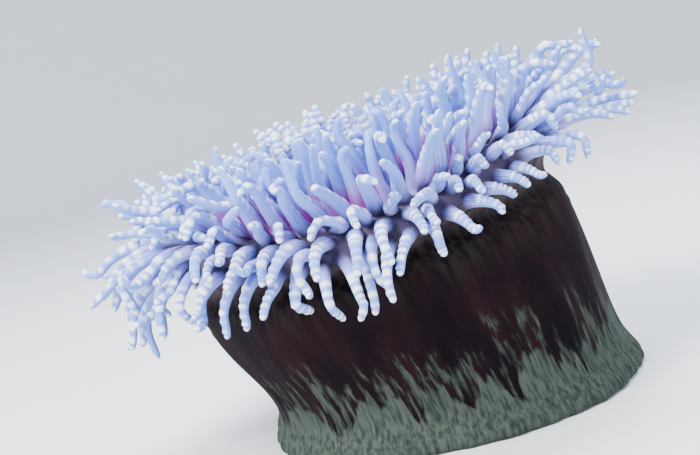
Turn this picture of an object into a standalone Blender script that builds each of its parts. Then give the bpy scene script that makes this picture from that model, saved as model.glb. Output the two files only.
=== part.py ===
"""A large sea anemone, life size, as a still museum model.

The animal stands on its flat pedal disc, which lies on the floor at the origin.
+Z is up, +X runs along the crown's long side and -Y is the side that the crown
leans towards. Lengths are in metres and angles in degrees unless named otherwise.
"""

import math

import bmesh
import bpy
import numpy as np
from mathutils import Matrix, Vector

# ---- Driving dimensions -------------------------------------------------------------
DISC_HEIGHT = 0.154  # the middle of the oral disc above the floor
DISC_OFFSET = (-0.032, -0.008)  # how far the disc's middle stands from the foot's
SIDE_TILT = 7.0  # the crown's -X side lies this much lower
FRONT_TILT = 1.0  # the crown's -Y side lies this much lower
FOOT_RADIUS = 0.122
COLUMN_RADIUS = 0.1215
LIP_RADIUS = 0.017  # the ring of the mouth
BARE_RADIUS = 0.055  # the part of the disc that bears no tentacles
RING_RADIUS = 0.1000  # where the inner ring of the crown meets the outer one
ROLL_START = 0.112  # the margin rolls over from this radius
ROLL_RADIUS = 0.013
GAP = 0.0003  # between pieces that touch
SECTORS = 12
SECTOR_STEPS = 2
TURN_STEPS = SECTORS * SECTOR_STEPS

# ---- Tentacles ----------------------------------------------------------------------
# One row of tentacles in each ring of the crown: its place across the crown, how many
# stand in one sector, a shift along the row as a share of their spacing, the rise of
# the stem above the horizontal, how far the tip sags below that, the length, and the
# stem's radius at its base.
ROWS = (
    {"radius": 0.0615, "each": 2, "shift": 0.00, "rise": 84, "sag": 2, "length": 0.050, "stem": 0.0060},
    {"radius": 0.0750, "each": 2, "shift": 0.12, "rise": 80, "sag": 5, "length": 0.053, "stem": 0.0060},
    {"radius": 0.0870, "each": 3, "shift": 0.00, "rise": 73, "sag": 11, "length": 0.055, "stem": 0.0057},
    {"radius": 0.1085, "each": 4, "shift": 0.00, "rise": 57, "sag": 23, "length": 0.055, "stem": 0.0051},
    {"roll": 48, "each": 4, "shift": -0.06, "rise": 26, "sag": 66, "length": 0.054, "stem": 0.0048},
    {"roll": -4, "each": 5, "shift": 0.00, "rise": -2, "sag": 66, "length": 0.054, "stem": 0.0044},
)
INNER_ROWS = 3  # rows that stand on the inner ring
STEM_TAPER = (1, 0.80, 0.60, 0)  # from the base to the tip, of the row's stem radius
TIP_RADIUS = (0, 0, 0, 0.0023)
SPANS = len(STEM_TAPER) - 1
ROOT_DEPTH = 0.005  # how far a stem runs on into the crown
SQUARE_GROWTH = 1.10  # a square tube's corner radius for a round stem's radius
CLEARANCE = 0.0020  # kept between neighbouring tentacles
SETTLING_STEPS = 160
SAMPLES_PER_SPAN = 4
CROWDING_REACH = 0.008  # spheres nearer than this beyond touching are watched
HOOKED_SHARE = 0.30  # of the tentacles curl over at the tip
SEED = 7

# ---- Outlines of the upright body, as radius and height -----------------------------
FOSSE_HEIGHT = DISC_HEIGHT - 0.030  # the groove under the margin
FOOT_TOP, LOWER_TOP, UPPER_TOP = 0.020, 0.060, 0.100


def lobes(azimuth, rise):
    """The body's outline as a share of its radius: rise is 0 at the foot, 1 at the crown."""
    crown = (
        0.012 * np.cos(2 * azimuth + 0.3)
        + 0.012 * np.cos(3 * azimuth - 1.0)
        + 0.008 * np.cos(5 * azimuth + 2.1)
    )
    foot = (
        0.014 * np.cos(3 * azimuth + 0.6)
        + 0.012 * np.cos(5 * azimuth - 1.0)
        + 0.008 * np.cos(9 * azimuth + 0.4)
    )
    return 1 + rise * crown + (1 - rise) * foot


def crown_wave(azimuth, radius):
    """How far the rim of the disc stands above its plane."""
    lift = 0.0055 * np.cos(2 * azimuth) - 0.0030 * np.sin(3 * azimuth)
    return lift * np.clip(radius / ROLL_START, 0, 1.1) ** 2


def crown_frame():
    """The disc's own frame: its middle at the origin and its plane flat."""
    turn = Matrix.Rotation(math.radians(-SIDE_TILT), 4, "Y") @ Matrix.Rotation(
        math.radians(FRONT_TILT), 4, "X"
    )
    return Matrix.Translation((*DISC_OFFSET, DISC_HEIGHT)) @ turn


def in_crown(points):
    """Points of the upright body, from the fosse up, in the disc's own frame."""
    x, y, z = points.T
    azimuth, radius = np.arctan2(y, x), np.hypot(x, y)
    share = lobes(azimuth, 1.0)
    part = np.clip((z - FOSSE_HEIGHT) / (DISC_HEIGHT - ROLL_RADIUS - FOSSE_HEIGHT), 0, 1)
    height = z - DISC_HEIGHT + part * crown_wave(azimuth, radius)
    return np.stack([x * share, y * share, height], 1)


def placed(points, frame):
    """Points carried by a frame."""
    matrix = np.array(frame)
    return points @ matrix[:3, :3].T + matrix[:3, 3]


def stance(points):
    """Bends the upright body into its stance: the foot stays flat and the crown leans."""
    frame = crown_frame()
    top = np.array(frame @ Vector((0, 0, FOSSE_HEIGHT - DISC_HEIGHT)))
    up = np.array(frame.to_3x3() @ Vector((0, 0, 1)))
    x, y, z = points.T
    part = np.clip(z / FOSSE_HEIGHT, 0, 1)
    ease = part * part * (3 - 2 * part)
    # The midline is a Hermite curve that leaves the floor upright and meets the crown's axis.
    start_pull = (part**3 - 2 * part**2 + part) * FOSSE_HEIGHT
    end_pull = (part**3 - part**2) * FOSSE_HEIGHT
    midline = np.outer(ease, top) + np.outer(end_pull, up)
    midline[:, 2] += start_pull
    side = np.radians(-SIDE_TILT) * ease
    front = np.radians(FRONT_TILT) * ease
    azimuth, radius = np.arctan2(y, x), np.hypot(x, y)
    share = lobes(azimuth, ease)
    across, along = x * share, y * share
    turned = np.stack(
        [
            across * np.cos(side) + along * np.sin(front) * np.sin(side),
            along * np.cos(front),
            -across * np.sin(side) + along * np.sin(front) * np.cos(side),
        ],
        1,
    )
    bent = midline + turned
    above = z > FOSSE_HEIGHT - 1e-9
    bent[above] = placed(in_crown(points[above]), frame)
    return bent


# ---- Where the tentacles grow, and how they lie -------------------------------------
def sagging(azimuth):
    """The share of its row's sag that a tentacle takes: most at -X, least at +X."""
    return 0.70 - 0.42 * np.cos(azimuth) - 0.36 * np.sin(azimuth)


def row_place(row):
    """(radius, height) of a row on the upright crown."""
    if "radius" in row:
        return row["radius"], DISC_HEIGHT
    angle = math.radians(row["roll"])
    return (
        ROLL_START + ROLL_RADIUS * math.cos(angle),
        DISC_HEIGHT - ROLL_RADIUS + ROLL_RADIUS * math.sin(angle),
    )


def fullness(azimuth, upright):
    """The share of its row's length that a tentacle reaches, which changes round the crown."""
    centres, gains, narrowness = (125, 50, -15, 190), (-0.14, -0.16, -0.12, -0.10), 6
    if not upright:
        centres = (-92, -62, -35, -130, 0, 42, 186)
        gains = (0.18, -0.54, -0.20, -0.40, 0.30, -0.30, 0.22)
        narrowness = 12
    return 1 + ((0.5 + 0.5 * np.cos(azimuth - np.radians(centres))) ** narrowness) @ gains


def direction(azimuth, rise):
    """The unit vector that points along an azimuth and rises by an angle, in radians."""
    return np.stack(
        [np.cos(rise) * np.cos(azimuth), np.cos(rise) * np.sin(azimuth), np.sin(rise)], -1
    )


def grown_tentacles():
    """Each tentacle as it would grow with no neighbours, in the disc's own frame."""
    rng = np.random.RandomState(SEED)
    grown = []
    for number, row in enumerate(ROWS):
        radius, height = row_place(row)
        for sector in range(SECTORS):
            for place in range(row["each"]):
                share = (place + 0.5 + row["shift"]) / row["each"]
                azimuth = 2 * math.pi * (sector + share) / SECTORS
                # It stands on the crown's skin and is rooted a little way inside.
                core = np.array([min(radius, ROLL_START), DISC_HEIGHT - ROLL_RADIUS])
                skin = np.array([radius, height])
                inner = skin + (core - skin) * ROOT_DEPTH / np.linalg.norm(core - skin)
                ray = np.array([[math.cos(azimuth), math.sin(azimuth)]])
                base, root = (
                    in_crown(np.concatenate([ray * point[0], [[point[1]]]], 1))[0]
                    for point in (skin, inner)
                )
                # Neighbours sway together in tufts, and each one strays a little.
                tuft = 15 * math.sin(3 * azimuth + 0.8 * number) + 14 * math.sin(
                    8 * azimuth + 2.0 * number
                )
                sway = math.radians(tuft + rng.normal(0, 10))
                nod = math.radians(7 * math.sin(5 * azimuth + 1.7 * number) + rng.normal(0, 7))
                rise = math.radians(row["rise"] + 18 * (0.7 - sagging(azimuth))) + nod
                sag = math.radians(row["sag"] * sagging(azimuth) + rng.normal(0, 9))
                turn = rng.normal(0, 0.45)
                hooked = rng.rand() < HOOKED_SHARE
                hook = math.radians(rng.uniform(45, 90)) * (1 if rng.rand() < 0.6 else -1)
                length = row["length"] * fullness(azimuth, "radius" in row) * rng.uniform(0.84, 1.16)
                radii = (row["stem"] * np.array(STEM_TAPER) + TIP_RADIUS) * rng.uniform(0.92, 1.08)
                nodes = [base]
                for span in range(SPANS):
                    part = (span + 0.5) / SPANS
                    bend = rise - sag * part**1.3
                    if hooked and span == SPANS - 1:
                        bend -= hook
                    step = direction(azimuth + sway * (0.5 + part) + turn * part * part, bend)
                    nodes.append(nodes[-1] + step * length / SPANS)
                grown.append(
                    {
                        "ring": "inner" if number < INNER_ROWS else "outer",
                        "row": number,
                        "sector": sector,
                        "root": root,
                        "nodes": np.array(nodes),
                        "radii": radii,
                    }
                )
    return grown


def kept_off_body(points, girth):
    """Points pushed out of the disc, the rolled margin and the column below it."""
    radius = np.hypot(points[:, 0], points[:, 1])
    azimuth = np.arctan2(points[:, 1], points[:, 0])
    share = lobes(azimuth, 1.0)
    level = points[:, 2] - crown_wave(azimuth, radius)
    upright = radius / share
    across = upright - ROLL_START
    drop = level + ROLL_RADIUS
    reach = np.hypot(across, drop)
    wanted = ROLL_RADIUS + girth + CLEARANCE
    # Beside the roll a point moves away from the roll's core, and below it outwards.
    beside = (across > 0) & (drop > 0) & (reach < wanted)
    push = np.where(beside, wanted - reach, 0)
    upright += push * across / np.maximum(reach, 1e-6)
    level += push * drop / np.maximum(reach, 1e-6)
    below = (drop <= 0) & (upright < ROLL_START + wanted)
    upright = np.where(below, ROLL_START + wanted, upright)
    low = (across <= 0) & (level < girth + CLEARANCE) & (drop > 0)
    level = np.where(low, girth + CLEARANCE, level)
    radius = upright * share
    moved = np.stack([radius * np.cos(azimuth), radius * np.sin(azimuth), level], 1)
    moved[:, 2] += crown_wave(azimuth, radius)
    return moved


def crowded(spheres, girth, owner):
    """The pairs of spheres of different tentacles that stand close together."""
    square = (spheres**2).sum(1)
    apart = np.sqrt(np.maximum(square[:, None] + square - 2 * spheres @ spheres.T, 0))
    near = apart < girth[:, None] + girth + CROWDING_REACH
    return np.nonzero(near & (owner[:, None] < owner))


def settled_tentacles():
    """The tentacles, pushed apart until no two of them touch."""
    grown = grown_tentacles()
    rest = np.array([t["nodes"] for t in grown])
    nodes = rest.copy()
    stem = np.array([t["radii"] for t in grown])
    lengths = np.linalg.norm(np.diff(rest, axis=1), axis=2)
    # Spheres along each stem stand for it: each one's weights on the stem's nodes.
    count = SPANS * SAMPLES_PER_SPAN + 1
    place = np.linspace(0, SPANS, count)
    weight = np.clip(1 - np.abs(place[:, None] - np.arange(SPANS + 1)), 0, 1)
    girth = (stem @ weight.T).ravel()
    owner = np.repeat(np.arange(len(grown)), count)
    for step in range(SETTLING_STEPS):
        spheres = (weight @ nodes).reshape(-1, 3)
        if step % 8 == 0:
            first, second = crowded(spheres, girth, owner)
        between = spheres[first] - spheres[second]
        apart = np.linalg.norm(between, axis=1)
        short = np.clip(girth[first] + girth[second] + CLEARANCE - apart, 0, None)
        shove = between * (0.5 * short / np.maximum(apart, 1e-6))[:, None]
        moved = np.zeros_like(spheres)
        hits = np.zeros(len(spheres))
        np.add.at(moved, first, shove)
        np.add.at(moved, second, -shove)
        np.add.at(hits, first, short > 0)
        np.add.at(hits, second, short > 0)
        moved = (moved / np.maximum(hits, 1)[:, None]).reshape(-1, count, 3)
        struck = (hits > 0).astype(float).reshape(-1, count)
        pull = np.maximum(struck @ weight, 0.5)
        nodes += 1.3 * np.einsum("tsx,sn->tnx", moved, weight) / pull[..., None]
        nodes += 0.010 * (1 - step / SETTLING_STEPS) * (rest - nodes)
        nodes[:, 0] = rest[:, 0]
        for node in range(1, SPANS + 1):
            nodes[:, node] = kept_off_body(nodes[:, node], stem[:, node])
            span = nodes[:, node] - nodes[:, node - 1]
            span /= np.linalg.norm(span, axis=1)[:, None]
            nodes[:, node] = nodes[:, node - 1] + span * lengths[:, node - 1, None]
    for tentacle, line in zip(grown, nodes):
        tentacle["nodes"] = line
    return grown


# ---- Modelling ----------------------------------------------------------------------
def cleared_scene():
    for old in list(bpy.data.objects):
        bpy.data.objects.remove(old)
    model = bpy.data.collections.new("sea_anemone")
    bpy.context.scene.collection.children.link(model)
    return model


def finish_material(name, colour, roughness):
    material = bpy.data.materials.new(name)
    material.use_nodes = True
    shader = material.node_tree.nodes["Principled BSDF"]
    shader.inputs["Base Color"].default_value = (*colour, 1)
    shader.inputs["Roughness"].default_value = roughness
    shader.inputs["Metallic"].default_value = 0
    return material


def added(model, name, form, material):
    """A mesh made from a bmesh, as a named object of the model."""
    mesh = bpy.data.meshes.new(name)
    form.to_mesh(mesh)
    form.free()
    piece = bpy.data.objects.new(name, mesh)
    mesh.materials.append(material)
    mesh.shade_smooth()
    mesh.set_sharp_from_angle(angle=math.radians(40))
    model.objects.link(piece)
    return piece


def spun(outline, start, sweep, steps):
    """A bmesh of a closed outline of (radius, height) points, turned about the Z axis."""
    form = bmesh.new()
    corners = [
        form.verts.new((r * math.cos(start), r * math.sin(start), z)) for r, z in outline
    ]
    face = form.faces.new(corners)
    whole = sweep > 2 * math.pi - 1e-6
    bmesh.ops.spin(
        form,
        geom=[face, *face.edges, *face.verts],
        cent=(0, 0, 0),
        axis=(0, 0, 1),
        angle=sweep,
        steps=steps,
        use_merge=whole,
    )
    if whole:
        caps = [f for f in form.faces if len(f.verts) > 4]
        bmesh.ops.delete(form, geom=caps, context="FACES_ONLY")
    bmesh.ops.remove_doubles(form, verts=form.verts, dist=1e-5)
    bmesh.ops.recalc_face_normals(form, faces=form.faces)
    return form


def posed(form):
    """Carries a bmesh of the upright body into its stance."""
    points = stance(np.array([v.co for v in form.verts]))
    for vertex, point in zip(form.verts, points):
        vertex.co = point
    return form


def turned_solid(model, name, side, material):
    """A solid disc whose side follows (radius, height) points from its foot to its top."""
    form = bmesh.new()
    rings = []
    for radius, height in side:
        ring = bmesh.ops.create_circle(
            form, cap_ends=False, segments=TURN_STEPS, radius=radius,
            matrix=Matrix.Translation((0, 0, height)),
        )["verts"]
        rings.append(ring)
    for lower, upper in zip(rings, rings[1:]):
        here = {*lower, *upper}
        edges = {e for v in here for e in v.link_edges if e.is_wire or e.is_boundary}
        bmesh.ops.bridge_loops(form, edges=[e for e in edges if set(e.verts) <= here])
    bmesh.ops.holes_fill(form, edges=form.edges, sides=0)
    bmesh.ops.recalc_face_normals(form, faces=form.faces)
    return added(model, name, posed(form), material)


def build_column(model, pale, dark):
    """The foot, the column in two lengths and the collar, one on the other."""
    foot = [
        (FOOT_RADIUS - 0.0010, 0),
        (FOOT_RADIUS, 0.005),
        (FOOT_RADIUS - 0.0070, FOOT_TOP - GAP / 2),
    ]
    turned_solid(model, "pedal_disc", foot, pale)
    lower = [
        (FOOT_RADIUS - 0.0070, FOOT_TOP + GAP / 2),
        (COLUMN_RADIUS - 0.0070, 0.040),
        (COLUMN_RADIUS - 0.0040, LOWER_TOP - GAP / 2),
    ]
    turned_solid(model, "column_lower", lower, dark)
    upper = [
        (COLUMN_RADIUS - 0.0040, LOWER_TOP + GAP / 2),
        (COLUMN_RADIUS - 0.0010, 0.080),
        (COLUMN_RADIUS, UPPER_TOP - GAP / 2),
    ]
    turned_solid(model, "column_upper", upper, dark)
    collar = [
        (COLUMN_RADIUS, UPPER_TOP + GAP / 2),
        (COLUMN_RADIUS - 0.0010, FOSSE_HEIGHT - 0.009),
        (COLUMN_RADIUS - 0.0060, FOSSE_HEIGHT - GAP / 2),
    ]
    turned_solid(model, "collar", collar, dark)


def disc_dish(radius):
    """The height of the bare disc above its plane: a shallow dish round a raised mouth."""
    cone = 0.009 * math.exp(-((radius / 0.024) ** 2))
    dish = 0.004 * math.exp(-(((radius - 0.047) / 0.016) ** 2))
    return DISC_HEIGHT + cone - dish


def build_disc(model, material):
    """The bare middle of the oral disc, a ring round the mouth."""
    steps = [LIP_RADIUS + GAP / 2, 0.029, 0.042, BARE_RADIUS - GAP / 2]
    top = [(radius, disc_dish(radius)) for radius in steps]
    floor = FOSSE_HEIGHT + GAP / 2
    outline = [(steps[0], floor), (steps[-1], floor), *reversed(top)]
    form = spun(outline, 0, 2 * math.pi, TURN_STEPS)
    added(model, "oral_disc", posed(form), material)


def build_mouth(model, cutters, material):
    """The raised lips, ribbed along the slit of the mouth."""
    form = bmesh.new()
    bmesh.ops.create_cone(
        form, cap_ends=True, segments=TURN_STEPS, radius1=LIP_RADIUS - GAP / 2,
        radius2=LIP_RADIUS * 0.80, depth=disc_dish(0) + 0.002 - FOSSE_HEIGHT - GAP / 2,
        matrix=Matrix.Translation((0, 0, (disc_dish(0) + 0.002 + FOSSE_HEIGHT + GAP / 2) / 2)),
    )
    ridge = [v for v in form.verts if v.co.z > DISC_HEIGHT]
    for number, vertex in enumerate(sorted(ridge, key=lambda v: math.atan2(v.co.y, v.co.x))):
        if number % 2:
            vertex.co.xy *= 1.10
            vertex.co.z -= 0.0015
    lips = added(model, "mouth", posed(form), material)
    frame = crown_frame()
    slit = bmesh.new()
    bmesh.ops.create_uvsphere(slit, u_segments=12, v_segments=7, radius=1)
    size = Matrix.Diagonal((0.0095, 0.0040, 0.012, 1))
    bmesh.ops.transform(
        slit, matrix=frame @ Matrix.Translation((0, 0, 0.010)) @ size, verts=slit.verts
    )
    cutter = added(cutters, "mouth_slit_cutter", slit, material)
    cutter.hide_render = True
    cutter.display_type = "WIRE"
    cut = lips.modifiers.new("slit", "BOOLEAN")
    cut.operation = "DIFFERENCE"
    cut.solver = "EXACT"
    cut.object = cutter


def tube_bundle(tentacles, frame):
    """One mesh of the square tubes of several tentacles, each closed at both ends."""
    curve = bpy.data.curves.new("stems", "CURVE")
    curve.dimensions = "3D"
    curve.bevel_depth = 1
    curve.bevel_resolution = 0
    curve.use_fill_caps = True
    for tentacle in tentacles:
        # The upright stems bend once, and those of the rolled margin twice.
        bends = [1, 2, 3] if "roll" in ROWS[tentacle["row"]] else [2, 3]
        points = placed(np.array([tentacle["root"], *tentacle["nodes"][bends]]), frame)
        radii = tentacle["radii"][[0, *bends]]
        spline = curve.splines.new("POLY")
        spline.points.add(len(points) - 1)
        for place, point, radius in zip(spline.points, points, radii):
            place.co = (*point, 1)
            place.radius = radius * SQUARE_GROWTH
    holder = bpy.data.objects.new("stems", curve)
    bpy.context.scene.collection.objects.link(holder)
    bpy.context.view_layer.update()
    graph = bpy.context.evaluated_depsgraph_get()
    mesh = bpy.data.meshes.new_from_object(holder.evaluated_get(graph))
    bpy.data.objects.remove(holder)
    form = bmesh.new()
    form.from_mesh(mesh)
    bmesh.ops.remove_doubles(form, verts=form.verts, dist=1e-6)
    bmesh.ops.recalc_face_normals(form, faces=form.faces)
    return form


def ring_outline(ring):
    """The closed outline of a crown ring's section, as (radius, height) points."""
    floor = FOSSE_HEIGHT + GAP / 2
    if ring == "inner":
        near, far = BARE_RADIUS + GAP / 2, RING_RADIUS - GAP / 2
        return [(near, floor), (far, floor), (far, DISC_HEIGHT), (near, disc_dish(near))]
    near = RING_RADIUS + GAP / 2
    roll = [
        (
            ROLL_START + ROLL_RADIUS * math.cos(math.radians(angle)),
            DISC_HEIGHT - ROLL_RADIUS + ROLL_RADIUS * math.sin(math.radians(angle)),
        )
        for angle in (-38, 26, 90)
    ]
    return [(near, floor), (COLUMN_RADIUS - 0.005, floor), *roll, (near, DISC_HEIGHT)]


def build_crown(model, cutters, material):
    """Twelve sectors in each of two rings, every one with the tentacles that it bears."""
    frame = crown_frame()
    tentacles = settled_tentacles()
    sweep = 2 * math.pi / SECTORS
    for ring in ("inner", "outer"):
        outline = ring_outline(ring)
        middle = sum(radius for radius, _ in outline) / len(outline)
        trim = GAP / 2 / middle
        for sector in range(SECTORS):
            form = spun(outline, sector * sweep + trim, sweep - 2 * trim, SECTOR_STEPS)
            name = f"crown_{ring}_{sector + 1:02d}"
            wedge = added(model, name, posed(form), material)
            mine = [t for t in tentacles if t["ring"] == ring and t["sector"] == sector]
            stems = added(cutters, f"{name}_stems", tube_bundle(mine, frame), material)
            stems.hide_render = True
            stems.display_type = "WIRE"
            join = wedge.modifiers.new("stems", "BOOLEAN")
            join.operation = "UNION"
            join.solver = "EXACT"
            join.use_self = True
            join.object = stems


def main():
    model = cleared_scene()
    cutters = bpy.data.collections.new("cutters")
    bpy.context.scene.collection.children.link(cutters)
    dark = finish_material("column_skin", (0.060, 0.022, 0.030), 0.45)
    pale = finish_material("foot_skin", (0.38, 0.42, 0.40), 0.55)
    disc = finish_material("disc_skin", (0.50, 0.30, 0.55), 0.40)
    lips = finish_material("lip_skin", (0.62, 0.36, 0.58), 0.40)
    flesh = finish_material("tentacle_skin", (0.62, 0.68, 0.90), 0.35)
    build_column(model, pale, dark)
    build_disc(model, disc)
    build_mouth(model, cutters, lips)
    build_crown(model, cutters, flesh)


main()
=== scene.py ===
import math

import bmesh
import bpy
import numpy as np
from mathutils import Matrix, Vector
from mathutils.geometry import delaunay_2d_cdt


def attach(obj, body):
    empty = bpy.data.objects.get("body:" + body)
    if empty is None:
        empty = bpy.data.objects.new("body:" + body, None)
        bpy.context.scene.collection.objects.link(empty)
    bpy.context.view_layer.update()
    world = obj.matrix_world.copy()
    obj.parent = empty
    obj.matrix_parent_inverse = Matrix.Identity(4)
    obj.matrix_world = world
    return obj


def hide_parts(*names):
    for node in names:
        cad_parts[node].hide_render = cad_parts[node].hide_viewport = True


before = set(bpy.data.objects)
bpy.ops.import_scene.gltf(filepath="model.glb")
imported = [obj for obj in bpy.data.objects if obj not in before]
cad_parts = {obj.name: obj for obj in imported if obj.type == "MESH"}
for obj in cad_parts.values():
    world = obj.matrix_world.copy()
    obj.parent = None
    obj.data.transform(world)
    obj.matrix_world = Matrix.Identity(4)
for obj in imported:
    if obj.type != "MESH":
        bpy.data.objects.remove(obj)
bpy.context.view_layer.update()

bpy.ops.object.select_all(action="DESELECT")

# ---- The stance of the body ---------------------------------------------------------
# The soft body is first shaped upright. It then leans on its flat foot: the column
# bends, and the crown tips a little down to -X and to the viewer at -Y.
DISC_HEIGHT = 0.154  # the middle of the oral disc above the floor
DISC_OFFSET = (-0.032, -0.008)
SIDE_TILT, FRONT_TILT = 7.0, 1.0  # degrees
FOSSE_HEIGHT = DISC_HEIGHT - 0.030  # the groove under the crown's margin
ROLL_START, ROLL_RADIUS = 0.112, 0.013  # the margin rolls over here
CROWN_LOBES = ((0.012, 2, 0.3), (0.012, 3, -1.0), (0.008, 5, 2.1))  # share, number, turn
FOOT_LOBES = ((0.014, 3, 0.6), (0.012, 5, -1.0), (0.008, 9, 0.4))


def lobes(azimuth, rise):
    """The body's outline as a share of its radius: rise is 0 at the foot, 1 at the crown."""
    crown, foot = (
        sum(share * np.cos(number * azimuth + turn) for share, number, turn in outline)
        for outline in (CROWN_LOBES, FOOT_LOBES)
    )
    return 1 + rise * crown + (1 - rise) * foot


def crown_wave(azimuth, radius):
    """How far the wavy rim of the disc stands above its plane."""
    lift = 0.0055 * np.cos(2 * azimuth) - 0.0030 * np.sin(3 * azimuth)
    return lift * np.clip(radius / ROLL_START, 0, 1.1) ** 2


crown_frame = (
    Matrix.Translation((*DISC_OFFSET, DISC_HEIGHT))
    @ Matrix.Rotation(math.radians(-SIDE_TILT), 4, "Y")
    @ Matrix.Rotation(math.radians(FRONT_TILT), 4, "X")
)


def on_crown(points):
    """Carries points of the disc's own frame to their place."""
    matrix = np.array(crown_frame)
    return points @ matrix[:3, :3].T + matrix[:3, 3]


def in_crown(points):
    """Points of the upright body, from the fosse up, in the disc's own frame."""
    x, y, z = points.T
    azimuth, radius = np.arctan2(y, x), np.hypot(x, y)
    share = lobes(azimuth, 1.0)
    part = np.clip((z - FOSSE_HEIGHT) / (DISC_HEIGHT - ROLL_RADIUS - FOSSE_HEIGHT), 0, 1)
    height = z - DISC_HEIGHT + part * crown_wave(azimuth, radius)
    return np.stack([x * share, y * share, height], 1)


def stance(points):
    """Bends the upright body into its stance: the foot stays flat and the crown leans."""
    top = np.array(crown_frame @ Vector((0, 0, FOSSE_HEIGHT - DISC_HEIGHT)))
    up = np.array(crown_frame.to_3x3() @ Vector((0, 0, 1)))
    x, y, z = points.T
    part = np.clip(z / FOSSE_HEIGHT, 0, 1)
    ease = part * part * (3 - 2 * part)
    midline = np.outer(ease, top) + np.outer((part**3 - part**2) * FOSSE_HEIGHT, up)
    midline[:, 2] += (part**3 - 2 * part**2 + part) * FOSSE_HEIGHT
    side, front = np.radians(-SIDE_TILT) * ease, np.radians(FRONT_TILT) * ease
    share = lobes(np.arctan2(y, x), ease)
    across, along = x * share, y * share
    turned = np.stack(
        [
            across * np.cos(side) + along * np.sin(front) * np.sin(side),
            along * np.cos(front),
            -across * np.sin(side) + along * np.sin(front) * np.cos(side),
        ],
        1,
    )
    bent = midline + turned
    above = z > FOSSE_HEIGHT - 1e-9
    bent[above] = on_crown(in_crown(points[above]))
    return bent


# ---- The tentacles' places ----------------------------------------------------------
# Hollow, water-filled tentacles in six rows. Each row has its place across the crown,
# the number in a sector, a shift along the row as a share of the spacing, the rise of
# the stem and the sag of the tip in degrees, and a length.
ROWS = (
    {"radius": 0.0615, "each": 2, "shift": 0.00, "rise": 84, "sag": 2, "length": 0.050, "stem": 0.0060},
    {"radius": 0.0750, "each": 2, "shift": 0.12, "rise": 80, "sag": 5, "length": 0.053, "stem": 0.0060},
    {"radius": 0.0870, "each": 3, "shift": 0.00, "rise": 73, "sag": 11, "length": 0.055, "stem": 0.0057},
    {"radius": 0.1085, "each": 4, "shift": 0.00, "rise": 57, "sag": 23, "length": 0.055, "stem": 0.0051},
    {"roll": 48, "each": 4, "shift": -0.06, "rise": 26, "sag": 66, "length": 0.054, "stem": 0.0048},
    {"roll": -4, "each": 5, "shift": 0.00, "rise": -2, "sag": 66, "length": 0.054, "stem": 0.0044},
)
SECTORS = 12
STEM_TAPER = (1, 0.80, 0.60, 0)  # from the base to the tip, of the row's stem radius
TIP_RADIUS = (0, 0, 0, 0.0023)
SPANS = len(STEM_TAPER) - 1
ROOT_DEPTH = 0.005
CLEARANCE = 0.0020  # kept between neighbouring tentacles
SAMPLES_PER_SPAN = 4  # spheres that stand for a tentacle when touches are looked for
CROWDING_REACH = 0.008  # spheres further apart than this are left out for a few steps
TUFTS = ((15, 3, 0.8), (14, 8, 2.0))  # degrees of sway, tufts round the crown, turn a row
NODS = ((7, 5, 1.7),)
EVEN_SAG, LIFT = 0.70, 18  # a stem that sags less than that share rises by some degrees
SWAY_SPREAD, NOD_SPREAD, SAG_SPREAD = 10, 7, 9  # degrees
TURN_SPREAD = 0.45
LENGTH_RANGE, GIRTH_RANGE = (0.84, 1.16), (0.92, 1.08)
HOOKED_SHARE, HOOKS_DOWN_SHARE = 0.30, 0.6
HOOK_RANGE = (45, 90)  # degrees


def sagging(azimuth):
    """The share of its row's sag that a tentacle takes: most at -X, least at +X."""
    return EVEN_SAG - 0.42 * np.cos(azimuth) - 0.36 * np.sin(azimuth)


def fullness(azimuth, upright):
    """The share of its row's length that a tentacle reaches, which changes round the crown."""
    # Round each of these azimuths, in degrees, the tentacles are that share longer or shorter.
    centres, gains, narrowness = (125, 50, -15, 190), (-0.14, -0.16, -0.12, -0.10), 6
    if not upright:
        centres = (-92, -62, -35, -130, 0, 42, 186)
        gains = (0.18, -0.54, -0.20, -0.40, 0.30, -0.30, 0.22)
        narrowness = 12
    return 1 + ((0.5 + 0.5 * np.cos(azimuth - np.radians(centres))) ** narrowness) @ gains


def direction(azimuth, rise):
    """The unit vector that points along an azimuth and rises by an angle, in radians."""
    return np.stack(
        [np.cos(rise) * np.cos(azimuth), np.cos(rise) * np.sin(azimuth), np.sin(rise)], -1
    )


def waves(table, azimuth, row):
    """The sum of some waves that go round the crown and turn from row to row."""
    return sum(most * math.sin(number * azimuth + turn * row) for most, number, turn in table)


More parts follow.
